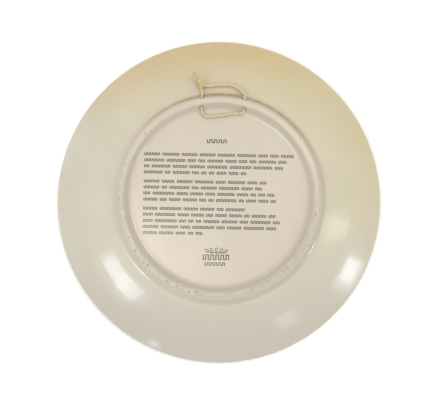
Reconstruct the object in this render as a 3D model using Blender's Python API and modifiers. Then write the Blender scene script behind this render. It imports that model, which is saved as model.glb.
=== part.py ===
"""Ceramic souvenir wall plate with a hanging cord, lying face down on a table.

Metres, +Z up. The plate is turned about Z with its back facing up, and the origin is the centre
of the circle on which the rim touches the table. +Y points from the centre to the middle of the
hanging cord.
"""

import math

import bmesh
import bpy
from mathutils import Vector
from mathutils.geometry import interpolate_bezier

# Plate, heights measured up from the table
PLATE_RADIUS = 0.0975
PLATE_HEIGHT = 0.0225
WALL_THICKNESS = 0.0040
RIM_THICKNESS = 0.0030
LIP_WIDTH = 0.0032
SHOULDER_INSET = 0.0175
SHOULDER_Z = 0.0142
WELL_RADIUS = 0.0574

# Foot ring
FOOT_RADIUS = 0.0582
FOOT_CREST_WIDTH = 0.0028
FOOT_HEIGHT = 0.0046
FOOT_INNER_SPREAD = 0.0034
FOOT_OUTER_SPREAD = 0.0028

# Roundings of the turned section
CREST_ROUND = 0.0014
RECESS_FILLET = 0.0022
FOOT_FILLET = 0.0030
SLOPE_ROUND = 0.0900
LIP_ROUND = 0.0012
WELL_ROUND = 0.0120

# Two parallel holes for the cord, drilled through the foot ring along Y
HOLE_SPACING = 0.0256
HOLE_DIAMETER = 0.0025
HOLE_ABOVE_FLOOR = 0.0021
DRILL_OVERRUN = 0.0040

# Cord. The loop outside the ring swings about an axis along the top of its two legs.
CORD_DIAMETER = 0.0017
SWING_Y = 0.06165
SWING_CLEARANCE = 0.0001

# Fineness of the meshes
TURN_STEPS = 84
SEAM_MERGE = 0.00001
DEGREES_PER_ARC_STEP = 16.0
MOST_OF_A_SIDE = 0.98
HOLE_SIDES = 24
CORD_POINT_SPACING = 0.0012
CURVE_STEPS = 16
TUBE_BEVEL_RESOLUTION = 2
KNOT_SEGMENTS = 16
KNOT_RINGS = 10

# Heights and radii that follow from the sizes above
FLOOR_Z = PLATE_HEIGHT - FOOT_HEIGHT
WELL_Z = FLOOR_Z - WALL_THICKNESS
HOLE_Z = FLOOR_Z + HOLE_ABOVE_FLOOR
CREST_INNER = FOOT_RADIUS - FOOT_CREST_WIDTH / 2
CREST_OUTER = FOOT_RADIUS + FOOT_CREST_WIDTH / 2
RECESS_RADIUS = CREST_INNER - FOOT_INNER_SPREAD
FOOT_BASE_RADIUS = CREST_OUTER + FOOT_OUTER_SPREAD
SHOULDER_RADIUS = PLATE_RADIUS - SHOULDER_INSET
SWING_Z = HOLE_Z + CORD_DIAMETER / 2 + SWING_CLEARANCE

# The cord's route, points chosen by hand (m). It comes out of the left hole, crosses the back
# of the plate to the right hole, runs through it and back inside the foot ring.
INNER_RUN_ROUTE = [
    (-0.0128, 0.0615, 0.0199), (-0.0128, 0.0585, 0.0200), (-0.0128, 0.0554, 0.0200),
    (-0.0127, 0.0534, 0.0200), (-0.0126, 0.0514, 0.0197), (-0.0119, 0.0496, 0.0193),
    (-0.0100, 0.0486, 0.0191), (-0.0078, 0.0483, 0.0191), (-0.0050, 0.0486, 0.0191),
    (-0.0005, 0.0493, 0.0191), (0.0040, 0.0502, 0.0191), (0.0075, 0.0508, 0.0191),
    (0.0100, 0.0510, 0.0192), (0.0115, 0.0513, 0.0195), (0.0124, 0.0521, 0.0198),
    (0.0127, 0.0534, 0.0199), (0.0128, 0.0555, 0.0200), (0.0128, 0.0585, 0.0200),
    (0.0128, 0.0615, 0.0199),
]
CROSS_RUN_ROUTE = [
    (0.0128, 0.0618, 0.0199), (0.0126, 0.0624, 0.0199), (0.0121, 0.0632, 0.0197),
    (0.0111, 0.0641, 0.0194), (0.0098, 0.0652, 0.0190), (0.0083, 0.0664, 0.0187),
    (0.0066, 0.0674, 0.0184), (0.0044, 0.0681, 0.0182), (0.0020, 0.0683, 0.0181),
    (-0.0020, 0.0680, 0.0181), (-0.0060, 0.0675, 0.0182), (-0.0090, 0.0672, 0.0184),
    (-0.0112, 0.0670, 0.0186),
]
LEFT_LEG_ROUTE = [
    (-0.0128, 0.0618, 0.0199), (-0.0129, 0.0626, 0.0198), (-0.0130, 0.0635, 0.0195),
    (-0.0132, 0.0644, 0.0193), (-0.0133, 0.0650, 0.0192),
]
TAIL_ROUTE = [
    (-0.0154, 0.0700, 0.0195), (-0.0162, 0.0712, 0.0201), (-0.0170, 0.0724, 0.0206),
    (-0.0178, 0.0735, 0.0210), (-0.0186, 0.0745, 0.0214),
]
KNOT_CENTRE = (-0.0139, 0.0677, 0.0186)
KNOT_SIZE = (0.0042, 0.0044, 0.0036)

CERAMIC_COLOUR = (0.78, 0.74, 0.66, 1.0)
CERAMIC_ROUGHNESS = 0.12
TWINE_COLOUR = (0.70, 0.62, 0.38, 1.0)
TWINE_ROUGHNESS = 0.6
JOINT_MARK_SIZE = 0.005


def clear_scene():
    """Remove the objects that a new scene opens with."""
    for item in list(bpy.data.objects):
        bpy.data.objects.remove(item, do_unlink=True)


def new_collection(name):
    """Add a collection to the scene."""
    collection = bpy.data.collections.new(name)
    bpy.context.scene.collection.children.link(collection)
    return collection


def new_material(name, colour, roughness):
    """Make a plain non-metal material for one sub-part."""
    material = bpy.data.materials.new(name)
    material.use_nodes = True
    shader = material.node_tree.nodes["Principled BSDF"]
    shader.inputs["Base Color"].default_value = colour
    shader.inputs["Roughness"].default_value = roughness
    shader.inputs["Metallic"].default_value = 0.0
    return material


def rounded_outline(corners):
    """An outline through (radius, height, rounding) corners, each corner rounded by an arc.

    Roundings that don't fit together on the straight between two corners shrink until they do.
    """
    places = [Vector((radius, height)) for radius, height, _ in corners]
    sides = [second - first for first, second in zip(places, places[1:])]
    turns = [0.0] + [first.angle(second) for first, second in zip(sides, sides[1:])] + [0.0]
    tangents = [rounding * math.tan(turn / 2) for (_, _, rounding), turn in zip(corners, turns)]
    room = [min(1.0, MOST_OF_A_SIDE * side.length / max(first + second, 1e-9))
            for side, first, second in zip(sides, tangents, tangents[1:])]
    outline = [places[0]]
    for index in range(1, len(corners) - 1):
        tangent = tangents[index] * min(room[index - 1], room[index])
        outline += corner_arc(places[index], sides[index - 1], sides[index], tangent)
    outline.append(places[-1])
    return outline


def corner_arc(corner, side_before, side_after, tangent):
    """Points of the arc that rounds one corner and touches its sides at the tangent length."""
    turn = side_before.angle(side_after)
    to_before = -side_before.normalized()
    to_after = side_after.normalized()
    centre_distance = tangent / math.sin(turn / 2)
    centre = corner + (to_before + to_after).normalized() * centre_distance
    first = corner + to_before * tangent - centre
    last = corner + to_after * tangent - centre
    steps = max(2, math.ceil(math.degrees(turn) / DEGREES_PER_ARC_STEP))
    arc = []
    for step in range(steps + 1):
        share = step / steps
        weight_first = math.sin((1 - share) * turn) / math.sin(turn)
        weight_last = math.sin(share * turn) / math.sin(turn)
        arc.append(centre + first * weight_first + last * weight_last)
    return arc


def plate_section():
    """Half section of the plate, from the middle of its back round the rim to the well."""
    return rounded_outline([
        (0.0, FLOOR_Z, 0.0),
        (RECESS_RADIUS, FLOOR_Z, RECESS_FILLET),
        (CREST_INNER, PLATE_HEIGHT, CREST_ROUND),
        (CREST_OUTER, PLATE_HEIGHT, CREST_ROUND),
        (FOOT_BASE_RADIUS, FLOOR_Z, FOOT_FILLET),
        (SHOULDER_RADIUS, SHOULDER_Z, SLOPE_ROUND),
        (PLATE_RADIUS, RIM_THICKNESS, LIP_ROUND),
        (PLATE_RADIUS, 0.0, LIP_ROUND),
        (PLATE_RADIUS - LIP_WIDTH, 0.0, LIP_ROUND),
        (SHOULDER_RADIUS, SHOULDER_Z - WALL_THICKNESS, SLOPE_ROUND),
        (WELL_RADIUS, WELL_Z, WELL_ROUND),
        (0.0, WELL_Z, 0.0),
    ])


def turned_object(name, section, collection, material):
    """Turn a section about Z with a Screw modifier."""
    mesh = bpy.data.meshes.new(name)
    shape = bmesh.new()
    corners = [shape.verts.new((point.x, 0.0, point.y)) for point in section]
    for first, second in zip(corners, corners[1:]):
        shape.edges.new((first, second))
    shape.to_mesh(mesh)
    shape.free()
    turned = bpy.data.objects.new(name, mesh)
    collection.objects.link(turned)
    mesh.materials.append(material)
    screw = turned.modifiers.new("turning", "SCREW")
    screw.axis = "Z"
    screw.angle = math.tau
    screw.steps = TURN_STEPS
    screw.render_steps = TURN_STEPS
    screw.use_merge_vertices = True
    screw.merge_threshold = SEAM_MERGE
    screw.use_smooth_shade = True
    return turned


def drill_cord_holes(plate, cutters):
    """Cut the two holes for the cord through the foot ring."""
    drill_length = FOOT_BASE_RADIUS - RECESS_RADIUS + 2 * DRILL_OVERRUN
    drill_middle = (FOOT_BASE_RADIUS + RECESS_RADIUS) / 2
    for side_name, side in (("left", -1), ("right", 1)):
        mesh = bpy.data.meshes.new("drill_" + side_name)
        shape = bmesh.new()
        bmesh.ops.create_cone(shape, cap_ends=True, segments=HOLE_SIDES,
                              radius1=HOLE_DIAMETER / 2, radius2=HOLE_DIAMETER / 2,
                              depth=drill_length)
        shape.to_mesh(mesh)
        shape.free()
        drill = bpy.data.objects.new("drill_" + side_name, mesh)
        drill.location = (side * HOLE_SPACING / 2, drill_middle, HOLE_Z)
        drill.rotation_euler = (math.pi / 2, 0.0, 0.0)
        drill.hide_render = True
        drill.display_type = "WIRE"
        cutters.objects.link(drill)
        cut = plate.modifiers.new("hole_" + side_name, "BOOLEAN")
        cut.operation = "DIFFERENCE"
        cut.solver = "EXACT"
        cut.object = drill


def smooth_route(route):
    """Evenly spaced points on a smooth curve through the route's own points."""
    places = [Vector(point) for point in route]
    ends = [2 * places[0] - places[1]] + places + [2 * places[-1] - places[-2]]
    dense = [places[0]]
    for index in range(1, len(ends) - 2):
        start, stop = ends[index], ends[index + 1]
        handle_out = start + (stop - ends[index - 1]) / 6
        handle_in = stop - (ends[index + 2] - start) / 6
        dense += interpolate_bezier(start, handle_out, handle_in, stop, CURVE_STEPS)[1:]
    total = sum((b - a).length for a, b in zip(dense, dense[1:]))
    count = max(3, round(total / CORD_POINT_SPACING) + 1)
    spacing = total / (count - 1)
    spaced = [dense[0]]
    travelled = 0.0
    for first, second in zip(dense, dense[1:]):
        step = (second - first).length
        while len(spaced) < count - 1 and travelled + step >= spacing * len(spaced):
            share = (spacing * len(spaced) - travelled) / step
            spaced.append(first.lerp(second, share))
        travelled += step
    spaced.append(dense[-1])
    return spaced


def cord_tube(name, route, origin, collection, material):
    """A stretch of the cord: a round tube on a poly curve, with its origin on the joint."""
    curve = bpy.data.curves.new(name, "CURVE")
    curve.dimensions = "3D"
    curve.bevel_depth = CORD_DIAMETER / 2
    curve.bevel_resolution = TUBE_BEVEL_RESOLUTION
    curve.use_fill_caps = True
    points = smooth_route(route)
    spline = curve.splines.new("POLY")
    spline.points.add(len(points) - 1)
    for point, place in zip(spline.points, points):
        point.co = (*(place - origin), 1.0)
    tube = bpy.data.objects.new(name, curve)
    collection.objects.link(tube)
    curve.materials.append(material)
    return tube


def knot_bead(origin, collection, material):
    """The outer shape of the knot."""
    mesh = bpy.data.meshes.new("cord_knot")
    shape = bmesh.new()
    bmesh.ops.create_uvsphere(shape, u_segments=KNOT_SEGMENTS, v_segments=KNOT_RINGS, radius=0.5)
    bmesh.ops.scale(shape, vec=KNOT_SIZE, verts=shape.verts)
    bmesh.ops.translate(shape, vec=Vector(KNOT_CENTRE) - origin, verts=shape.verts)
    shape.to_mesh(mesh)
    shape.free()
    mesh.shade_smooth()
    mesh.materials.append(material)
    knot = bpy.data.objects.new("cord_knot", mesh)
    collection.objects.link(knot)
    return knot


def joint_empty(name, place, parent, collection):
    """An empty on a joint, which carries the pieces that move with it."""
    empty = bpy.data.objects.new(name, None)
    empty.empty_display_size = JOINT_MARK_SIZE
    collection.objects.link(empty)
    empty.location = place
    empty.parent = parent
    return empty


clear_scene()
plate_parts = new_collection("souvenir_plate")
plate_cutters = new_collection("souvenir_plate_cutters")

glazed_ceramic = new_material("glazed_ceramic", CERAMIC_COLOUR, CERAMIC_ROUGHNESS)
plate_body = turned_object("plate_body", plate_section(), plate_parts, glazed_ceramic)
drill_cord_holes(plate_body, plate_cutters)

slide_place = Vector((0.0, FOOT_RADIUS, HOLE_Z))
swing_place = Vector((0.0, SWING_Y, SWING_Z))
slide_empty = joint_empty("cord_slide_joint", slide_place, None, plate_parts)
swing_empty = joint_empty("loop_swing_joint", swing_place - slide_place, slide_empty, plate_parts)

inner_run = cord_tube("cord_inner_run", INNER_RUN_ROUTE, slide_place, plate_parts,
                      new_material("twine_inner_run", TWINE_COLOUR, TWINE_ROUGHNESS))
inner_run.parent = slide_empty

for piece_name, piece_route in (("loop_cross_run", CROSS_RUN_ROUTE),
                                ("loop_left_leg", LEFT_LEG_ROUTE),
                                ("cord_tail", TAIL_ROUTE)):
    piece = cord_tube(piece_name, piece_route, swing_place, plate_parts,
                      new_material("twine_" + piece_name, TWINE_COLOUR, TWINE_ROUGHNESS))
    piece.parent = swing_empty

cord_knot = knot_bead(swing_place, plate_parts,
                      new_material("twine_knot", TWINE_COLOUR, TWINE_ROUGHNESS))
cord_knot.parent = swing_empty
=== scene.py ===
import math
import random

import bmesh
import bpy
from mathutils import Matrix, Vector, noise


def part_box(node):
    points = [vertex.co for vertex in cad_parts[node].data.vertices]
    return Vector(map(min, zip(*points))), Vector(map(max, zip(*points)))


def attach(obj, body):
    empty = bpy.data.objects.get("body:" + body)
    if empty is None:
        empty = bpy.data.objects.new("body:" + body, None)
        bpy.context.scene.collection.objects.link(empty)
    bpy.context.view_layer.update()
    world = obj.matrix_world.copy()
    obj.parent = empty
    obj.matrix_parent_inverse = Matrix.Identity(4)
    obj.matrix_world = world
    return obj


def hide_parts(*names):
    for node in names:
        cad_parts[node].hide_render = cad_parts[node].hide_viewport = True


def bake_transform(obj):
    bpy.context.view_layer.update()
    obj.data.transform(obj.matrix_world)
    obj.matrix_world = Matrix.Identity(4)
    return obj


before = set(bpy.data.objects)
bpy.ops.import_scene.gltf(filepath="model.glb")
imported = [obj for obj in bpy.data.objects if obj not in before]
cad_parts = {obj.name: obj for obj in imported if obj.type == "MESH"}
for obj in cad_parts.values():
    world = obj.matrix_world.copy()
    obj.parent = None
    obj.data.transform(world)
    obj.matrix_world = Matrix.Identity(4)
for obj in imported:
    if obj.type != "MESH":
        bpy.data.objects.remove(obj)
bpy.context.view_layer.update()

plate_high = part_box("plate_body")[1]
MM = 0.001

# ---------------------------------------------------------------------------------------------
# The camera stands over the plate's back, a little to the side away from the cord, and looks
# down at it with a long lens.
CAMERA_AZIMUTH = math.radians(2.6)
CAMERA_ELEVATION = math.radians(84.05)
CAMERA_DISTANCE = 900 * MM
CAMERA_LENS = 121.0
AIM = Vector((1.8 * MM, -5.1 * MM, 3.0 * MM))

camera_data = bpy.data.cameras.new("camera")
camera_data.lens = CAMERA_LENS
camera_data.sensor_width = 36.0
camera_data.clip_start = 0.05
camera = bpy.data.objects.new("camera", camera_data)
bpy.context.scene.collection.objects.link(camera)
toward_camera = Vector((
    math.sin(CAMERA_AZIMUTH) * math.cos(CAMERA_ELEVATION),
    -math.cos(CAMERA_AZIMUTH) * math.cos(CAMERA_ELEVATION),
    math.sin(CAMERA_ELEVATION),
))
camera.location = AIM + toward_camera * CAMERA_DISTANCE
camera.rotation_mode = "QUATERNION"
camera.rotation_quaternion = (-toward_camera).to_track_quat("-Z", "Y")
bpy.context.scene.camera = camera
bpy.context.scene.view_settings.view_transform = "Standard"

# ---------------------------------------------------------------------------------------------
# The table is a wide sheet of matt white card in a white room with a brighter ceiling. Windows to
# the lower left and the right, overhead and side lamps and two door gaps show in the glaze. Each
# light is given by azimuth and elevation in degrees, then distance, width and height in metres.
FLOOR_HALF = 3.0
FLOOR_CLEARANCE = 0.02 * MM
WALL_BRIGHTNESS = 0.60
CEILING_BRIGHTNESS = 0.98
BRIGHT_SIDE = Vector((-0.20, 0.32, 1.0))


def add_node(tree, kind, inputs=None, **settings):
    """Add a shader node with its settings, and set or link its inputs."""
    made = tree.nodes.new(kind)
    for name, value in settings.items():
        setattr(made, name, value)
    for socket, value in (inputs or {}).items():
        if isinstance(value, bpy.types.NodeSocket):
            tree.links.new(value, made.inputs[socket])
        else:
            made.inputs[socket].default_value = value
    return made


def start_material(name):
    """A new material with its node tree and its shader."""
    material = bpy.data.materials.new(name)
    material.use_nodes = True
    return material, material.node_tree, material.node_tree.nodes["Principled BSDF"]


def white_card():
    """Matt white card with a faint mottle."""
    material, tree, shader = start_material("white_card")
    place = add_node(tree, "ShaderNodeTexCoord").outputs["Object"]
    mottle = add_node(tree, "ShaderNodeTexNoise", {"Vector": place, "Scale": 9.0, "Detail": 4.0})
    tint = add_node(tree, "ShaderNodeMix", {0: mottle.outputs["Fac"],
                                            6: (0.90, 0.90, 0.90, 1), 7: (0.94, 0.94, 0.935, 1)},
                    data_type="RGBA")
    tree.links.new(tint.outputs[2], shader.inputs["Base Color"])
    shader.inputs["Roughness"].default_value = 0.85
    return material


def add_window(name, azimuth, elevation, distance, width, height, radiance, tint):
    """A soft rectangular light that faces the plate from a direction given in degrees."""
    light = bpy.data.lights.new(name, "AREA")
    light.shape = "RECTANGLE"
    light.size = width
    light.size_y = height
    light.energy = radiance * math.pi * width * height
    light.color = tint
    window = bpy.data.objects.new(name, light)
    bpy.context.scene.collection.objects.link(window)
    turn, lift = math.radians(azimuth), math.radians(elevation)
    direction = Vector((math.cos(turn) * math.cos(lift), math.sin(turn) * math.cos(lift),
                        math.sin(lift)))
    window.location = direction * distance
    window.rotation_mode = "QUATERNION"
    window.rotation_quaternion = (-direction).to_track_quat("-Z", "Y")
    window.visible_camera = False


card_shape = bmesh.new()
bmesh.ops.create_grid(card_shape, x_segments=1, y_segments=1, size=FLOOR_HALF)
bmesh.ops.translate(card_shape, vec=(0, 0, -FLOOR_CLEARANCE), verts=card_shape.verts)
card_mesh = bpy.data.meshes.new("table_card")
card_shape.to_mesh(card_mesh)
card_shape.free()
card_mesh.materials.append(white_card())
table_card = bpy.data.objects.new("table_card", card_mesh)
bpy.context.scene.collection.objects.link(table_card)

room = bpy.data.worlds.new("white_room")
bpy.context.scene.world = room
room.use_nodes = True
room_tree = room.node_tree
heading = add_node(room_tree, "ShaderNodeTexCoord").outputs["Generated"]
lift = add_node(room_tree, "ShaderNodeVectorMath", {0: heading, 1: BRIGHT_SIDE},
                operation="DOT_PRODUCT")
glow = add_node(room_tree, "ShaderNodeMapRange",
                {"Value": lift.outputs["Value"], "From Min": 0.0, "From Max": 1.0,
                 "To Min": WALL_BRIGHTNESS, "To Max": CEILING_BRIGHTNESS})
background = room_tree.nodes["Background"]
background.inputs["Color"].default_value = (1.0, 0.99, 0.975, 1)
room_tree.links.new(glow.outputs["Result"], background.inputs["Strength"])

add_window("left_window", 208.3, 48.5, 1.6, 0.21, 0.33, 6.0, (0.80, 0.85, 1.0))
add_window("left_window_low", 220.5, 47.5, 1.6, 0.25, 0.40, 7.2, (0.80, 0.85, 1.0))
add_window("left_wall_glow", 215, 48, 1.6, 0.60, 0.80, 0.55, (0.88, 0.94, 1.0))
add_window("right_window", -20, 27, 1.6, 0.24, 0.29, 7.0, (0.78, 0.85, 1.0))
add_window("right_wall_glow", -22, 28, 1.6, 0.36, 0.42, 2.6, (0.80, 0.88, 1.0))
add_window("ceiling_softbox", 209, 80, 1.7, 0.50, 0.50, 3.0, (1.0, 0.98, 0.94))
add_window("ceiling_lamp", 45, 69.5, 1.7, 0.36, 0.38, 10.0, (1.0, 0.95, 0.87))
add_window("desk_lamp", 134, 85.6, 1.7, 0.12, 0.08, 1.8, (1.0, 0.94, 0.84))
add_window("far_lamp", -54.5, 39.5, 1.6, 0.22, 0.34, 1.7, (1.0, 0.90, 0.82))
add_window("side_lamp", -2.5, 50, 1.6, 0.20, 0.50, 2.7, (1.0, 0.90, 0.82))
add_window("door_gap", 245.5, 23.2, 1.6, 0.07, 0.06, 9.0, (1.0, 0.98, 0.88))
add_window("door_gap_far", 295, 24, 1.6, 0.09, 0.03, 4.0, (1.0, 0.98, 0.88))

# ---------------------------------------------------------------------------------------------
# The hanging cord is one length of two-ply twine, pale straw yellow and stiff with age. It goes
# through the left hole, along the inside of the foot ring and out of the right hole, and is tied
# to itself outside the ring.
CORD_DIAMETER = 1.7 * MM
PLY_RADIUS = 0.39 * CORD_DIAMETER
PLY_OFFSET = 0.15 * CORD_DIAMETER
LAY_LENGTH = 8.5 * MM
PLY_SIDES = 12
RING_SPACING = 0.25 * MM
CURVE_STEPS = 24
TWINE_LIGHT = (0.61, 0.525, 0.305, 1)
# The dark twine colour is painted shade for the grooves between the plies.
TWINE_GROOVE_SHADE = (0.50, 0.37, 0.15, 1)

CORD_ROUTE = [
    (-0.0133, 0.0650, 0.0191), (-0.0132, 0.0644, 0.0193), (-0.0130, 0.0635, 0.0195),
    (-0.0129, 0.0626, 0.0198), (-0.0128, 0.0618, 0.0199), (-0.0128, 0.0585, 0.0200),
    (-0.0128, 0.0554, 0.0200), (-0.0127, 0.0534, 0.0200), (-0.0126, 0.0514, 0.0197),
    (-0.0119, 0.0496, 0.0193), (-0.0100, 0.0486, 0.0191), (-0.0078, 0.0483, 0.0191),
    (-0.0050, 0.0486, 0.0191), (-0.0005, 0.0493, 0.0191), (0.0040, 0.0502, 0.0191),
    (0.0075, 0.0508, 0.0191), (0.0100, 0.0510, 0.0192), (0.0115, 0.0513, 0.0195),
    (0.0124, 0.0521, 0.0198), (0.0127, 0.0534, 0.0199), (0.0128, 0.0555, 0.0200),
    (0.0128, 0.0585, 0.0200), (0.0128, 0.0618, 0.0199), (0.0126, 0.0624, 0.0199),
    (0.0121, 0.0632, 0.0197), (0.0111, 0.0641, 0.0194), (0.0098, 0.0652, 0.0190),
    (0.0083, 0.0664, 0.0187), (0.0066, 0.0674, 0.0184), (0.0044, 0.0681, 0.0182),
    (0.0020, 0.0683, 0.0181), (-0.0020, 0.0680, 0.0181), (-0.0060, 0.0675, 0.0182),
    (-0.0090, 0.0672, 0.0184), (-0.0112, 0.0670, 0.0186),
]


def smooth_route(route, spacing):
    """Evenly spaced points on a smooth curve through the route's own points."""
    places = [Vector(point) for point in route]
    ends = [2 * places[0] - places[1]] + places + [2 * places[-1] - places[-2]]
    dense = [places[0]]
    for before, start, stop, after in zip(ends, ends[1:], ends[2:], ends[3:]):
        for step in range(1, CURVE_STEPS + 1):
            t = step / CURVE_STEPS
            tangent_start, tangent_stop = (stop - before) / 2, (after - start) / 2
            dense.append((2 * t**3 - 3 * t**2 + 1) * start + (t**3 - 2 * t**2 + t) * tangent_start
                         + (3 * t**2 - 2 * t**3) * stop + (t**3 - t**2) * tangent_stop)
    total = sum((b - a).length for a, b in zip(dense, dense[1:]))
    count = max(3, round(total / spacing) + 1)
    spaced, travelled = [dense[0]], 0.0
    for first, second in zip(dense, dense[1:]):
        step = (second - first).length
        while len(spaced) < count - 1 and travelled + step >= total * len(spaced) / (count - 1):
            share = (total * len(spaced) / (count - 1) - travelled) / step
            spaced.append(first.lerp(second, share))
        travelled += step
    return spaced + [dense[-1]]


def travelling_frames(points):
    """A frame at each point, with Z along the route and as little turning as can be."""
    frames = []
    side = Vector((0, 0, 1))
    for index, place in enumerate(points):
        ahead = points[min(index + 1, len(points) - 1)] - points[max(index - 1, 0)]
        ahead.normalize()
        side = (side - ahead * side.dot(ahead)).normalized()
        across = ahead.cross(side)
        turned = Matrix((side, across, ahead)).transposed().to_4x4()
        frames.append(Matrix.Translation(place) @ turned)
    return frames


def lay_ply(shape, frames, radii, offsets, turns, fibre_layer):
    """Sweep one ply: a circle carried along the frames at an offset that winds round them."""
    ring = None
    along = 0.0
    for index, (place, radius, offset, turn) in enumerate(zip(frames, radii, offsets, turns)):
        centre = place @ Matrix.Rotation(turn, 4, "Z") @ Matrix.Translation((offset, 0, 0))
        target = centre @ Matrix.Diagonal((radius, radius, radius, 1))
        if index == 0:
            made = bmesh.ops.create_circle(shape, cap_ends=False, radius=1.0,
                                           segments=PLY_SIDES, matrix=target)
            ring = made["verts"]
            bmesh.ops.contextual_create(shape, geom=ring)
        else:
            along += (frames[index].translation - frames[index - 1].translation).length
            edges = [edge for edge in {e for v in ring for e in v.link_edges}
                     if edge.verts[0] in ring and edge.verts[1] in ring]
            made = bmesh.ops.extrude_edge_only(shape, edges=edges)
            ring = [item for item in made["geom"] if isinstance(item, bmesh.types.BMVert)]
            bmesh.ops.transform(shape, matrix=target @ previous.inverted(), verts=ring)
        for corner in ring:
            spot = target.inverted() @ corner.co
            corner[fibre_layer] = (along, spot.x * radius, spot.y * radius)
        previous = target
    bmesh.ops.contextual_create(shape, geom=ring)


def finish_mesh(name, shape, material, smooth=True):
    """Write a bmesh to a new object at the origin, with its faces pointing out."""
    bmesh.ops.recalc_face_normals(shape, faces=shape.faces)
    mesh = bpy.data.meshes.new(name)
    shape.to_mesh(mesh)
    shape.free()
    if smooth:
        mesh.shade_smooth()
    mesh.materials.append(material)
    piece = bpy.data.objects.new(name, mesh)
    bpy.context.scene.collection.objects.link(piece)
    return piece


def laid_twine(name, points, material, thickness=None, lay=LAY_LENGTH, spread=1.0):
    """Two plies twisted round each other along a route, as one mesh."""
    frames = travelling_frames(points)
    thickness = thickness or [1.0] * len(points)
    shape = bmesh.new()
    fibre_layer = shape.verts.layers.float_vector.new("fibre")
    spacing = (points[1] - points[0]).length
    for ply in range(2):
        turns = [math.pi * ply + math.tau * index * spacing / lay for index in range(len(points))]
        radii = [PLY_RADIUS * share for share in thickness]
        offsets = [PLY_OFFSET * share * spread for share in thickness]
        lay_ply(shape, frames, radii, offsets, turns, fibre_layer)
    return finish_mesh(name, shape, material)


def straw_twine():
    """Matt straw-yellow bast fibres that run along each ply, with painted shade darkening the grooves
    between the plies.
    """
    material, tree, shader = start_material("straw_twine")
    fibre = add_node(tree, "ShaderNodeAttribute", attribute_name="fibre").outputs["Vector"]
    stretched = add_node(tree, "ShaderNodeMapping", {"Vector": fibre, "Scale": (0.10, 1, 1)})
    strands = add_node(tree, "ShaderNodeTexNoise", {"Vector": stretched.outputs["Vector"],
                                                    "Scale": 9000.0, "Detail": 5.0,
                                                    "Roughness": 0.65})
    place = add_node(tree, "ShaderNodeTexCoord").outputs["Object"]
    ageing = add_node(tree, "ShaderNodeTexNoise", {"Vector": place, "Scale": 330.0, "Detail": 3.0})
    depth = add_node(tree, "ShaderNodeAmbientOcclusion", {"Distance": 0.5 * MM}, samples=6)
    strand_band = add_node(tree, "ShaderNodeMapRange", {"Value": strands.outputs["Fac"],
                                                        "From Min": 0.35, "From Max": 0.66})
    age_band = add_node(tree, "ShaderNodeMapRange", {"Value": ageing.outputs["Fac"],
                                                     "From Min": 0.35, "From Max": 0.70})
    straw = add_node(tree, "ShaderNodeMix", {0: strand_band.outputs["Result"],
                                             6: (0.53, 0.435, 0.225, 1), 7: TWINE_LIGHT},
                     data_type="RGBA")
    aged = add_node(tree, "ShaderNodeMix", {0: age_band.outputs["Result"],
                                            6: straw.outputs[2], 7: (0.57, 0.455, 0.225, 1)},
                    data_type="RGBA")
    # Painted shade: the ambient-occlusion value mixes a dark brown into the twine in the grooves
    # between the plies and where it lies close to the plate.
    shaded_twine = add_node(tree, "ShaderNodeMix", {0: depth.outputs["AO"], 6: TWINE_GROOVE_SHADE,
                                              7: aged.outputs[2]}, data_type="RGBA")
    tree.links.new(shaded_twine.outputs[2], shader.inputs["Base Color"])
    relief = add_node(tree, "ShaderNodeBump", {"Height": strands.outputs["Fac"],
                                               "Strength": 0.6, "Distance": 0.10 * MM})
    tree.links.new(relief.outputs["Normal"], shader.inputs["Normal"])
    shader.inputs["Roughness"].default_value = 0.62
    shader.inputs["Sheen Weight"].default_value = 0.25
    return material


twine = straw_twine()
cord_points = smooth_route(CORD_ROUTE, RING_SPACING)
hanging_cord = laid_twine("hanging_cord", cord_points, twine)
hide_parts("cord_inner_run", "loop_cross_run", "loop_left_leg")
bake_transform(hanging_cord)

# The knot: the cord's free end is wound nearly two and a half times round the left leg, and the
# leg's own end stands out of it as a short tail, its two plies opening at the tip.
KNOT_TURNS = 2.4
KNOT_PITCH = 1.55 * MM
KNOT_COIL_RADIUS = 1.10 * MM
KNOT_START = Vector((-13.4, 65.7, 19.25)) * MM
KNOT_FIRST_ANGLE = math.radians(35)
KNOT_FIRST_PLACE = 2.8 * MM
KNOT_LEAD = 0.45
KNOT_STEPS = 12
KNOT_AXIS = Vector((-0.36, 0.93, 0.02)).normalized()
TAIL_ROUTE = [
    (-0.0133, 0.0650, 0.0191), (-0.0135, 0.0662, 0.0189), (-0.0139, 0.0674, 0.0188),
    (-0.0145, 0.0687, 0.0190), (-0.0154, 0.0700, 0.0195), (-0.0162, 0.0712, 0.0201),
    (-0.0170, 0.0724, 0.0206), (-0.0178, 0.0735, 0.0210), (-0.0186, 0.0745, 0.0214),
]


def knot_route():
    """The free end comes in from the cross run, climbs over the leg and winds round it."""
    side = Vector((1, 0, 0))
    side = (side - KNOT_AXIS * side.dot(KNOT_AXIS)).normalized()
    up = side.cross(KNOT_AXIS)
    route = [Vector(CORD_ROUTE[-2]), Vector(CORD_ROUTE[-1])]
    for step in range(round(KNOT_TURNS * KNOT_STEPS)):
        angle = KNOT_FIRST_ANGLE + math.tau * step / KNOT_STEPS
        along = KNOT_FIRST_PLACE - KNOT_PITCH * (step / KNOT_STEPS - KNOT_LEAD)
        route.append(KNOT_START + KNOT_AXIS * along
                     + KNOT_COIL_RADIUS * (math.cos(angle) * side + math.sin(angle) * up))
    return route


knot_points = smooth_route(knot_route(), RING_SPACING)
knot_thickness = [0.92 - 0.10 * index / len(knot_points) for index in range(len(knot_points))]
wound_knot = laid_twine("wound_knot", knot_points, twine, knot_thickness)
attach(wound_knot, "hanging_loop")
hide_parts("cord_knot")

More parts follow.
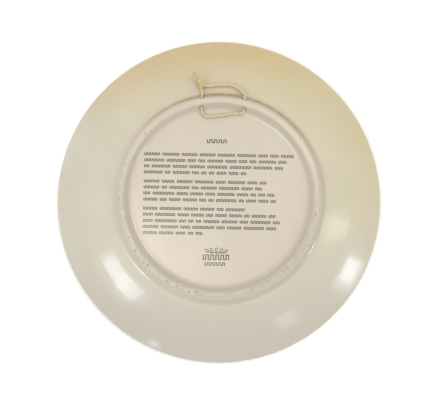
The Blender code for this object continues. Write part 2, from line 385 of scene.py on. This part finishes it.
tail_points = smooth_route(TAIL_ROUTE, RING_SPACING)
tail_thickness = [1.50 - 0.30 * (index / (len(tail_points) - 1)) ** 2.0
                  for index in range(len(tail_points))]
twisted_tail = laid_twine("twisted_tail", tail_points, twine, tail_thickness,
                          lay=3.6 * MM, spread=1.3)
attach(twisted_tail, "hanging_loop")
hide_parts("cord_tail")

# ---------------------------------------------------------------------------------------------
# The plate is one white earthenware casting, turned smooth and glazed all over in a glossy cream
# glaze. Its back faces up, with the foot ring that was drilled for the cord before it was fired.
FLOOR_Z = 17.9 * MM
WELL_Z = 13.9 * MM
RECESS_RADIUS = 53.4 * MM
CREST_INNER = 56.8 * MM
CREST_OUTER = 59.6 * MM
FOOT_BASE_RADIUS = 62.4 * MM
SHOULDER_INSET = 17.5 * MM
SHOULDER_Z = 14.2 * MM
RIM_THICKNESS = 3.0 * MM
LIP_WIDTH = 3.2 * MM
WALL_THICKNESS = 4.0 * MM
WELL_RADIUS = 57.4 * MM
TURN_STEPS = 256
ARC_STEP = math.radians(4.0)
MOST_OF_A_SIDE = 0.98
LONGEST_RUN = 2.5 * MM
MERGE_DISTANCE = 0.001 * MM
HOLE_X = 12.8 * MM
HOLE_Z = 20.0 * MM
HOLE_RADIUS = 1.25 * MM

plate_radius = plate_high[0]
plate_top = plate_high[2]
shoulder_radius = plate_radius - SHOULDER_INSET


def rounded_outline(corners):
    """An outline through (radius, height, rounding) corners, each rounded by a fine arc.

    Roundings that don't fit together on the straight between two corners shrink until they do.
    """
    places = [Vector((radius, height)) for radius, height, _ in corners]
    sides = [second - first for first, second in zip(places, places[1:])]
    turns = [0.0] + [first.angle(second) for first, second in zip(sides, sides[1:])] + [0.0]
    tangents = [rounding * math.tan(turn / 2) for (_, _, rounding), turn in zip(corners, turns)]
    room = [min(1.0, MOST_OF_A_SIDE * side.length / max(first + second, 1e-9))
            for side, first, second in zip(sides, tangents, tangents[1:])]
    outline = [places[0]]
    for index in range(1, len(corners) - 1):
        turn = turns[index]
        tangent = tangents[index] * min(room[index - 1], room[index])
        to_before, to_after = -sides[index - 1].normalized(), sides[index].normalized()
        centre = places[index] + (to_before + to_after).normalized() * tangent / math.sin(turn / 2)
        first = places[index] + to_before * tangent - centre
        last = places[index] + to_after * tangent - centre
        steps = max(2, math.ceil(turn / ARC_STEP))
        for step in range(steps + 1):
            share = step / steps
            outline.append(centre + (first * math.sin((1 - share) * turn)
                                     + last * math.sin(share * turn)) / math.sin(turn))
    outline.append(places[-1])
    return outline


def filled_in(outline, longest):
    """The outline with points added where its straight runs are longer than a length."""
    filled = [outline[0]]
    for first, second in zip(outline, outline[1:]):
        pieces = max(1, math.ceil((second - first).length / longest))
        filled += [first.lerp(second, step / pieces) for step in range(1, pieces + 1)]
    return filled


def turned_plate():
    """Spin the plate's section round Z."""
    section = filled_in(rounded_outline([
        (0, FLOOR_Z, 0),
        (RECESS_RADIUS, FLOOR_Z, 3.0 * MM),
        (CREST_INNER, plate_top, 1.4 * MM),
        (CREST_OUTER, plate_top, 1.4 * MM),
        (FOOT_BASE_RADIUS, FLOOR_Z, 5.0 * MM),
        (shoulder_radius, SHOULDER_Z, 90 * MM),
        (plate_radius, RIM_THICKNESS, 1.2 * MM),
        (plate_radius, 0, 1.2 * MM),
        (plate_radius - LIP_WIDTH, 0, 1.2 * MM),
        (shoulder_radius, SHOULDER_Z - WALL_THICKNESS, 90 * MM),
        (WELL_RADIUS, WELL_Z, 12 * MM),
        (0, WELL_Z, 0),
    ]), LONGEST_RUN)
    shape = bmesh.new()
    corners = [shape.verts.new((point.x, 0, point.y)) for point in section]
    edges = [shape.edges.new(pair) for pair in zip(corners, corners[1:])]
    bmesh.ops.spin(shape, geom=corners + edges, cent=(0, 0, 0), axis=(0, 0, 1),
                   angle=math.tau, steps=TURN_STEPS, use_merge=True, use_duplicate=False)
    bmesh.ops.remove_doubles(shape, verts=shape.verts, dist=MERGE_DISTANCE)
    return shape


def maths(tree, operation, first, second=0.0):
    """One step of arithmetic between shader values."""
    return add_node(tree, "ShaderNodeMath", {0: first, 1: second}, operation=operation).outputs[0]


def eased(tree, value, start, end, low=0.0, high=1.0):
    """A value that eases from low to high as another goes from start to end."""
    return add_node(tree, "ShaderNodeMapRange",
                    {"Value": value, "From Min": start, "From Max": end,
                     "To Min": low, "To Max": high}, interpolation_type="SMOOTHSTEP").outputs[0]


def tinted(tree, share, first, second, blend="MIX"):
    """Two colours mixed by a share."""
    return add_node(tree, "ShaderNodeMix", {0: share, 6: first, 7: second},
                    data_type="RGBA", blend_type=blend).outputs[2]


def grain(tree, place, scale, detail=3.0, roughness=0.5):
    """A noise value at a scale in cycles a metre."""
    return add_node(tree, "ShaderNodeTexNoise", {"Vector": place, "Scale": scale,
                                                 "Detail": detail,
                                                 "Roughness": roughness}).outputs["Fac"]


def glaze_places():
    """A node group that gives the distance from the plate's axis, and the ring's own zones."""
    group = bpy.data.node_groups.new("glaze_places", "ShaderNodeTree")
    group.interface.new_socket("Place", in_out="INPUT", socket_type="NodeSocketVector")
    for name in ("Radius", "Back", "Crest", "Groove", "Inner wall", "Slope"):
        group.interface.new_socket(name, in_out="OUTPUT", socket_type="NodeSocketFloat")
    source = group.nodes.new("NodeGroupInput")
    result = group.nodes.new("NodeGroupOutput")
    flat = add_node(group, "ShaderNodeVectorMath", {0: source.outputs["Place"], 1: (1, 1, 0)},
                    operation="MULTIPLY")
    radius = add_node(group, "ShaderNodeVectorMath", {0: flat.outputs[0]},
                      operation="LENGTH").outputs["Value"]
    group.links.new(radius, result.inputs["Radius"])
    height = add_node(group, "ShaderNodeSeparateXYZ", {"Vector": source.outputs["Place"]}).outputs["Z"]
    back = eased(group, height, 14.5 * MM, 16 * MM)
    group.links.new(back, result.inputs["Back"])
    for name, centre, inside, outside in (
            ("Crest", 58.2 * MM, 0.9 * MM, 1.8 * MM), ("Groove", 62.6 * MM, 0.5 * MM, 2.2 * MM),
            ("Inner wall", 53.8 * MM, 1.6 * MM, 2.6 * MM)):
        away = maths(group, "ABSOLUTE", maths(group, "SUBTRACT", radius, centre))
        group.links.new(maths(group, "MULTIPLY", eased(group, away, inside, outside, 1.0, 0.0), back),
                        result.inputs[name])
    group.links.new(eased(group, radius, 61.5 * MM, 70 * MM), result.inputs["Slope"])
    return group


def cream_glaze():
    """Glossy cream glaze: yellowed at the top, with a cooler tint of painted window light on the
    slope, painted shade in the hollow round the foot and a thin brown line along it at the top.
    """
    material, tree, shader = start_material("cream_glaze")
    place = add_node(tree, "ShaderNodeTexCoord").outputs["Object"]
    zones = add_node(tree, "ShaderNodeGroup", node_tree=glaze_places())
    tree.links.new(place, zones.inputs["Place"])
    radius, slope = zones.outputs["Radius"], zones.outputs["Slope"]
    across = add_node(tree, "ShaderNodeSeparateXYZ", {"Vector": place}).outputs
    clouds = eased(tree, grain(tree, place, 28.0, 4.0), 0.35, 0.65)
    mottle = eased(tree, grain(tree, place, 160.0, 5.0, 0.6), 0.40, 0.62)
    colour = tinted(tree, clouds, (0.570, 0.507, 0.404, 1), (0.546, 0.490, 0.389, 1))
    # Painted light: the slope takes a cooler, greyer tint that stands for the cool window light
    # falling on it.
    colour = tinted(tree, maths(tree, "MULTIPLY", slope, 0.85), colour,
                    tinted(tree, clouds, (0.565, 0.538, 0.440, 1), (0.540, 0.510, 0.405, 1)))
    low_side = maths(tree, "MULTIPLY", slope, eased(tree, across["Y"], -10 * MM, -85 * MM))
    colour = tinted(tree, maths(tree, "MULTIPLY", low_side, 0.8), colour,
                    (0.480, 0.442, 0.372, 1))
    colour = tinted(tree, maths(tree, "MULTIPLY", mottle, 0.05), colour, (0.44, 0.38, 0.28, 1))
    stain_side = maths(tree, "ADD", across["Y"], maths(tree, "MULTIPLY", across["X"], 0.42))
    stain_edge = maths(tree, "ADD", stain_side,
                       maths(tree, "MULTIPLY", grain(tree, place, 22.0, 4.0), 45 * MM))
    stain = maths(tree, "MULTIPLY", eased(tree, stain_edge, 5 * MM, 100 * MM),
                  eased(tree, radius, 60 * MM, 96 * MM, 0.42, 1.06))
    stain = maths(tree, "MULTIPLY", stain, eased(tree, radius, 60.5 * MM, 63.5 * MM))
    blotch = eased(tree, grain(tree, place, 48.0, 3.0, 0.55), 0.42, 0.60)
    tan_top = eased(tree, maths(tree, "SUBTRACT", across["Y"],
                                maths(tree, "MULTIPLY", across["X"], 0.35)), 40 * MM, 90 * MM)
    yellow = tinted(tree, blotch, (0.545, 0.465, 0.280, 1), (0.528, 0.464, 0.238, 1))
    stain = maths(tree, "MULTIPLY", stain, eased(tree, across["X"], 20 * MM, 85 * MM, 0.88, 0.72))
    colour = tinted(tree, stain, colour,
                    tinted(tree, tan_top, yellow, (0.538, 0.418, 0.214, 1)))
    # Painted shade: the glaze darkens in the hollow round the outside of the foot ring, only faintly
    # on the left, which the windows light.
    foot_hollow_shade = maths(tree, "MULTIPLY", zones.outputs["Groove"],
                   eased(tree, across["X"], -50 * MM, 20 * MM, 0.05, 0.36))
    colour = tinted(tree, foot_hollow_shade, colour, (0.355, 0.325, 0.250, 1))
    crest_wear = eased(tree, grain(tree, place, 260.0, 5.0, 0.7), 0.40, 0.62, 0.45, 0.85)
    worn_side = eased(tree, across["Y"], -25 * MM, 40 * MM, 1.0, 0.15)
    crest_wear = maths(tree, "MULTIPLY", crest_wear, worn_side)
    colour = tinted(tree, maths(tree, "MULTIPLY", zones.outputs["Crest"], crest_wear), colour,
                    (0.385, 0.358, 0.276, 1))
    wall_shade = maths(tree, "MULTIPLY", zones.outputs["Inner wall"],
                       eased(tree, across["Y"], -25 * MM, 45 * MM, 0.40, 0.06))
    colour = tinted(tree, wall_shade, colour, (0.46, 0.40, 0.305, 1))
    # A thin olive-brown line, broken up by noise, darkens the glaze round the outside foot of the ring
    # toward the top.
    upper_back = maths(tree, "MULTIPLY", zones.outputs["Back"],
                      eased(tree, maths(tree, "ADD", across["Y"],
                                        maths(tree, "MULTIPLY", across["X"], 0.10)),
                            22 * MM, 58 * MM))
    foot_edge_line = eased(tree, maths(tree, "ABSOLUTE", maths(tree, "SUBTRACT", radius, 62.1 * MM)),
                       0.1 * MM, 1.5 * MM, 1.0, 0.0)
    brown_edge_line = maths(tree, "MULTIPLY", maths(tree, "MULTIPLY", upper_back, foot_edge_line),
                  eased(tree, grain(tree, place, 420.0, 4.0, 0.6), 0.30, 0.62, 0.45, 1.0))
    colour = tinted(tree, maths(tree, "MULTIPLY", brown_edge_line, 0.80), colour, (0.275, 0.185, 0.070, 1))
    cells = add_node(tree, "ShaderNodeTexVoronoi", {"Vector": place, "Scale": 95.0,
                                                    "Randomness": 1.0})
    speck = eased(tree, cells.outputs["Distance"], 0.018, 0.030, 1.0, 0.0)
    colour = tinted(tree, maths(tree, "MULTIPLY", speck, 0.55), colour, (0.20, 0.15, 0.09, 1))
    tree.links.new(colour, shader.inputs["Base Color"])
    smear = eased(tree, grain(tree, place, 60.0, 5.0, 0.6), 0.35, 0.70, 0.12, 0.21)
    tree.links.new(maths(tree, "ADD", smear, maths(tree, "MULTIPLY", zones.outputs["Crest"],
                                                   0.06)), shader.inputs["Roughness"])
    waves = add_node(tree, "ShaderNodeBump", {"Height": grain(tree, place, 70.0, 2.0),
                                              "Strength": 0.35, "Distance": 0.25 * MM})
    peel = add_node(tree, "ShaderNodeBump", {"Height": grain(tree, place, 900.0, 3.0),
                                             "Normal": waves.outputs[0],
                                             "Strength": 0.25, "Distance": 0.02 * MM})
    pits = add_node(tree, "ShaderNodeBump",
                    {"Height": maths(tree, "MULTIPLY", zones.outputs["Crest"],
                                     maths(tree, "MULTIPLY", worn_side,
                                           grain(tree, place, 330.0, 4.0, 0.6))),
                     "Normal": peel.outputs[0], "Strength": 0.7, "Distance": 0.18 * MM})
    tree.links.new(pits.outputs[0], shader.inputs["Normal"])
    shader.inputs["IOR"].default_value = 1.50
    shader.inputs["Coat Weight"].default_value = 0.35
    shader.inputs["Coat Roughness"].default_value = 0.08
    return material


RIPPLE_DEPTH = 0.05 * MM
RIPPLE_SIZE = 17 * MM
RIPPLE_FROM = 53 * MM
RIPPLE_EASE_IN = 4 * MM
RIPPLE_RIM_MARGIN = 1.5 * MM
RIPPLE_EASE_OUT = 6 * MM
HOLE_SIDES = 48
DRILL_PAST_RING = 8 * MM


def ripple(shape):
    """Give the turned slope and the ring the slight waviness of a glazed surface."""
    shape.normal_update()
    for corner in shape.verts:
        radius = corner.co.xy.length
        share = min(max((radius - RIPPLE_FROM) / RIPPLE_EASE_IN, 0.0), 1.0) \
            * min(max((plate_radius - RIPPLE_RIM_MARGIN - radius) / RIPPLE_EASE_OUT, 0.0), 1.0)
        height = noise.noise(corner.co / RIPPLE_SIZE) * RIPPLE_DEPTH
        corner.co += corner.normal * height * share


def drill(plate, side):
    """Cut one hole for the cord through the foot ring, along Y."""
    shape = bmesh.new()
    length = FOOT_BASE_RADIUS - RECESS_RADIUS + DRILL_PAST_RING
    turned = Matrix.Translation((side * HOLE_X, (FOOT_BASE_RADIUS + RECESS_RADIUS) / 2, HOLE_Z)) \
        @ Matrix.Rotation(math.pi / 2, 4, "X")
    bmesh.ops.create_cone(shape, cap_ends=True, segments=HOLE_SIDES, radius1=HOLE_RADIUS,
                          radius2=HOLE_RADIUS, depth=length, matrix=turned)
    cutter_mesh = bpy.data.meshes.new("drill")
    shape.to_mesh(cutter_mesh)
    shape.free()
    cutter = bpy.data.objects.new("drill", cutter_mesh)
    bpy.context.scene.collection.objects.link(cutter)
    cut = plate.modifiers.new("hole", "BOOLEAN")
    cut.operation = "DIFFERENCE"
    cut.solver = "EXACT"
    cut.object = cutter
    bpy.context.view_layer.update()
    cut_mesh = bpy.data.meshes.new_from_object(plate.evaluated_get(
        bpy.context.evaluated_depsgraph_get()))
    plate.modifiers.clear()
    plate.data = cut_mesh
    bpy.data.objects.remove(cutter, do_unlink=True)


plate_shape = turned_plate()
ripple(plate_shape)
glazed_plate = finish_mesh("glazed_plate", plate_shape, cream_glaze())
for side in (-1, 1):
    drill(glazed_plate, side)
glazed_plate.data.shade_smooth()
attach(glazed_plate, "plate")
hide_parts("plate_body")

# ---------------------------------------------------------------------------------------------
# Pinholes on the foot ring's crest, where the glaze crawled back from the clay as it was fired.
# Each is a small long spot of brown bare body, level with the glaze, given by its angle in degrees,
# its radius and its length.
PINHOLES = [
    (-7.6, 58.1, 0.55), (-26.5, 58.9, 0.35), (-43.4, 58.3, 0.45), (-58.0, 57.8, 0.25),
    (-101.0, 57.9, 0.75), (-104.5, 58.6, 0.45), (-112.0, 58.2, 0.50), (-118.5, 58.5, 0.60),
    (-133.5, 58.2, 0.60), (-136.0, 58.8, 0.40), (-144.5, 58.5, 0.70), (-153.0, 58.3, 0.45),
    (-176.0, 58.9, 0.25), (38.0, 58.6, 0.30), (142.0, 58.2, 0.30), (163.0, 58.7, 0.25),
]
PIT_WIDTH = 0.32 * MM
PIT_STRETCH = 1.35
PIT_HEIGHT = 0.06 * MM
PIT_SINK = 0.01 * MM


def bare_body():
    """Brown unglazed clay, grainy and matt."""
    material, tree, shader = start_material("bare_body")
    place = add_node(tree, "ShaderNodeTexCoord").outputs["Object"]
    grit = eased(tree, grain(tree, place, 2600.0, 4.0, 0.6), 0.35, 0.65)
    tree.links.new(tinted(tree, grit, (0.11, 0.075, 0.045, 1), (0.27, 0.19, 0.11, 1)),
                   shader.inputs["Base Color"])
    relief = add_node(tree, "ShaderNodeBump", {"Height": grit, "Strength": 0.5,
                                               "Distance": 0.03 * MM})
    tree.links.new(relief.outputs[0], shader.inputs["Normal"])
    shader.inputs["Roughness"].default_value = 0.8
    return material


pit_shape = bmesh.new()
for degrees, pit_radius, pit_length in PINHOLES:
    stand = Matrix.Rotation(math.radians(degrees), 4, "Z") \
        @ Matrix.Translation((pit_radius * MM, 0, plate_top - PIT_SINK)) \
        @ Matrix.Diagonal((PIT_WIDTH, PIT_STRETCH * pit_length * MM, PIT_HEIGHT, 1))
    bmesh.ops.create_uvsphere(pit_shape, u_segments=16, v_segments=8, radius=1.0, matrix=stand)
pinholes = finish_mesh("crest_pinholes", pit_shape, bare_body())
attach(pinholes, "plate")

# ---------------------------------------------------------------------------------------------
# The printed back: three blocks of small print under a short heading, a mark and two lines below
# them. It's a fired decal, here of plain strokes that spell nothing, with a sprig as the mark.
PRINT_TURN = math.radians(1.5)
PRINT_HEIGHT = 0.03 * MM
FIRST_LINE = Vector((-45.3, 23.6)) * MM
LINES = [
    (0.00, 89.0), (3.62, 84.5), (7.24, 82.3), (10.86, 61.0),
    (16.3, 73.0), (19.9, 70.7), (23.5, 77.3), (27.2, 78.8),
    (32.6, 62.1), (36.2, 79.0), (39.9, 81.0), (43.5, 79.5), (47.1, 35.5),
]
SHORTEST_GROUP, LONGEST_GROUP = 3, 14
GROUP_GAP = 2.2
LEAST_LEFT = 3
dice = random.Random(11)


def print_ink():
    """Dark brown fired ink, a little broken, thinner toward the low left of the print."""
    material, tree, shader = start_material("print_ink")
    place = add_node(tree, "ShaderNodeTexCoord").outputs["Object"]
    across = add_node(tree, "ShaderNodeSeparateXYZ", {"Vector": place}).outputs
    broken = eased(tree, grain(tree, place, 1500.0, 4.0, 0.65), 0.36, 0.70)
    colour = tinted(tree, broken, (0.010, 0.008, 0.007, 1), (0.032, 0.026, 0.020, 1))
    low_left = maths(tree, "ADD", maths(tree, "MULTIPLY", across["Y"], -1.0),
                     maths(tree, "MULTIPLY", across["X"], -0.55))
    worn = eased(tree, low_left, 22 * MM, 58 * MM, 0.0, 0.36)
    tree.links.new(tinted(tree, worn, colour, (0.40, 0.35, 0.27, 1)), shader.inputs["Base Color"])
    shader.inputs["Roughness"].default_value = 0.35
    shader.inputs["Coat Weight"].default_value = 0.6
    shader.inputs["Coat Roughness"].default_value = 0.12
    return material


def print_bar(shape, centre, width, height, turn=PRINT_TURN):
    """One flat rectangular stroke of ink on the floor of the recess."""
    stand = Matrix.Translation((centre.x, centre.y, FLOOR_Z)) @ Matrix.Rotation(turn, 4, "Z") \
        @ Matrix.Diagonal((width, height, PRINT_HEIGHT, 1))
    bmesh.ops.create_cube(shape, size=1.0, matrix=stand)


def print_line(shape, start, length, x_height, pitch, weight, grouped=False):
    """A line of plain meander strokes, which stands for small print and spells nothing."""
    ahead = Vector((math.cos(PRINT_TURN), math.sin(PRINT_TURN)))
    up = Vector((-math.sin(PRINT_TURN), math.cos(PRINT_TURN)))
    along, step = 0.0, 0
    group = dice.randint(SHORTEST_GROUP, LONGEST_GROUP) if grouped else length / pitch
    while along < length:
        foot = start + along * ahead
        print_bar(shape, foot + up * x_height / 2, weight, x_height)
        if group > 0 and along + pitch < length:
            level = (0.06, 0.94)[step % 2]
            print_bar(shape, foot + ahead * pitch / 2 + up * x_height * level,
                      pitch - weight, weight * 0.9)
            along += pitch
            group -= 1
        else:
            along += pitch * GROUP_GAP
            group = dice.randint(SHORTEST_GROUP, LONGEST_GROUP)
            if along + LEAST_LEFT * pitch > length:
                break
        step += 1


ink = print_ink()
print_shape = bmesh.new()
for drop, length in LINES:
    down = Vector((math.sin(PRINT_TURN), -math.cos(PRINT_TURN))) * drop * MM
    print_line(print_shape, FIRST_LINE + down, length * MM, 1.60 * MM, 0.88 * MM, 0.50 * MM,
               grouped=True)
print_line(print_shape, Vector((-8.3, 32.6)) * MM, 12.5 * MM, 2.2 * MM, 1.40 * MM, 0.60 * MM)
print_line(print_shape, Vector((-7.6, -37.3)) * MM, 15.2 * MM, 3.2 * MM, 1.50 * MM, 0.62 * MM)
print_line(print_shape, Vector((-6.3, -40.7)) * MM, 12.6 * MM, 1.95 * MM, 1.15 * MM, 0.52 * MM)
back_print = finish_mesh("back_print", print_shape, ink, smooth=False)
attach(back_print, "plate")

SPRIG_CENTRE = Vector((-0.1, -31.6)) * MM


def sprig():
    """A sprig of five leaves on a curved stalk, drawn in the ink's outline weight."""
    shape = bmesh.new()
    for step in range(-4, 5):
        place = SPRIG_CENTRE + Vector((step * 1.22, -1.35 + 0.022 * step * step)) * MM
        print_bar(shape, place, 1.30 * MM, 0.40 * MM, math.radians(2.2 * step))
    for spot, lean in ((-4.5, 55), (-2.3, 30), (0.0, 0), (2.3, -30), (4.5, -55)):
        foot = SPRIG_CENTRE + Vector((spot, -0.9)) * MM
        stand = Matrix.Translation((foot.x, foot.y, FLOOR_Z)) \
            @ Matrix.Rotation(math.radians(lean), 4, "Z") @ Matrix.Translation((0, 1.25 * MM, 0))
        outer = bmesh.ops.create_circle(
            shape, segments=24, radius=1.0,
            matrix=stand @ Matrix.Diagonal((0.80 * MM, 1.55 * MM, 1, 1)))["verts"]
        inner = bmesh.ops.create_circle(
            shape, segments=24, radius=1.0,
            matrix=stand @ Matrix.Diagonal((0.42 * MM, 1.12 * MM, 1, 1)))["verts"]
        rims = [edge for edge in {e for v in outer + inner for e in v.link_edges}]
        band = bmesh.ops.bridge_loops(shape, edges=rims)["faces"]
        lifted = bmesh.ops.extrude_face_region(shape, geom=band)["geom"]
        raised = [item for item in lifted if isinstance(item, bmesh.types.BMVert)]
        bmesh.ops.translate(shape, vec=(0, 0, PRINT_HEIGHT / 2), verts=raised)
    return shape


printed_sprig = finish_mesh("printed_sprig", sprig(), ink, smooth=False)
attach(printed_sprig, "plate")

# ---------------------------------------------------------------------------------------------
# The picture on the plate's front, which faces the table: hills, firs and a boat by a lake,
# printed in blues inside two fine bands. Each shape is a thin layer of fired colour on the well.
PICTURE_RADIUS = 44 * MM
LAYER_STEP = 0.012 * MM
WATER_LEVEL = -6 * MM


def blue_decal():
    """Fired blue colours, darker or lighter by piece, with an uneven screened tone."""
    material, tree, shader = start_material("blue_decal")
    place = add_node(tree, "ShaderNodeTexCoord").outputs["Object"]
    depth = add_node(tree, "ShaderNodeAttribute", attribute_name="depth_of_tone").outputs["Fac"]
    uneven = maths(tree, "MULTIPLY", grain(tree, place, 260.0, 5.0, 0.6), 0.30)
    tone = maths(tree, "ADD", depth, maths(tree, "SUBTRACT", uneven, 0.15))
    colour = tinted(tree, tone, (0.50, 0.56, 0.60, 1), (0.018, 0.060, 0.190, 1))
    tree.links.new(colour, shader.inputs["Base Color"])
    shader.inputs["Roughness"].default_value = 0.22
    shader.inputs["Coat Weight"].default_value = 0.6
    return material


def decal_shape(picture, tone_layer, tone, layer, centre, size, segments=48, waterline=None):
    """A flat ellipse or polygon on the well, cut off at the waterline if it stands in water."""
    stand = Matrix.Translation((centre[0] * MM, centre[1] * MM, WELL_Z - layer * LAYER_STEP)) \
        @ Matrix.Diagonal((size[0] * MM, size[1] * MM, 1, 1)) \
        @ Matrix.Rotation(math.pi / 2, 4, "Z")
    made = bmesh.ops.create_circle(picture, cap_ends=True, segments=segments, radius=1.0,
                                   matrix=stand)["verts"]
    for corner in made:
        corner[tone_layer] = tone
    if waterline is not None:
        faces = list({face for corner in made for face in corner.link_faces})
        edges = list({edge for corner in made for edge in corner.link_edges})
        bmesh.ops.bisect_plane(picture, geom=made + edges + faces, clear_inner=True,
                               plane_co=(0, waterline, 0), plane_no=(0, 1, 0))


def band(picture, tone_layer, tone, inner, outer, layer):
    """A fine painted band round the well."""
    height = Matrix.Translation((0, 0, WELL_Z - layer * LAYER_STEP))
    rims = []
    for radius in (inner, outer):
        rims += bmesh.ops.create_circle(picture, segments=160, radius=radius,
                                        matrix=height)["verts"]
    edges = list({edge for corner in rims for edge in corner.link_edges})
    bmesh.ops.bridge_loops(picture, edges=edges)
    for corner in rims:
        corner[tone_layer] = tone


picture = bmesh.new()
tone_layer = picture.verts.layers.float.new("depth_of_tone")
decal_shape(picture, tone_layer, 0.10, 1, (0, 0), (PICTURE_RADIUS / MM, PICTURE_RADIUS / MM), 160)
decal_shape(picture, tone_layer, -0.20, 2, (15, 21), (6.5, 6.5))
for centre, size, tone in (((-22, -6), (19, 17), 0.34), ((20, -6), (21, 13), 0.38),
                           ((-2, -6), (25, 10), 0.50)):
    decal_shape(picture, tone_layer, tone, 3 + 3 * tone, centre, size, waterline=WATER_LEVEL)
for step in range(9):
    wave_y = -9.5 - 3.3 * step
    reach = math.sqrt((PICTURE_RADIUS / MM) ** 2 - wave_y ** 2) - 3
    decal_shape(picture, tone_layer, 0.30 + 0.03 * step, 6, (dice.uniform(-3, 3), wave_y),
                (reach * dice.uniform(0.70, 0.95), 0.42), 32)
for spot in (-34, -30.5, -27, 25, 29, 33):
    tree_size = dice.uniform(0.8, 1.15)
    for tier in range(3):
        decal_shape(picture, tone_layer, 0.86, 8 + tier, (spot, -4.2 + 3.0 * tier * tree_size),
                    ((2.6 - 0.6 * tier) * tree_size, 2.9 * tree_size), 3)
decal_shape(picture, tone_layer, 0.92, 12, (3, -16), (8.0, 2.2), 3)
decal_shape(picture, tone_layer, -0.15, 12, (4.5, -9.2), (3.4, 6.0), 3)
band(picture, tone_layer, 0.85, PICTURE_RADIUS + 0.4 * MM, PICTURE_RADIUS + 1.3 * MM, 2)
band(picture, tone_layer, 0.60, PICTURE_RADIUS + 2.6 * MM, PICTURE_RADIUS + 3.0 * MM, 2)
front_picture = finish_mesh("front_picture", picture, blue_decal(), smooth=False)
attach(front_picture, "plate")
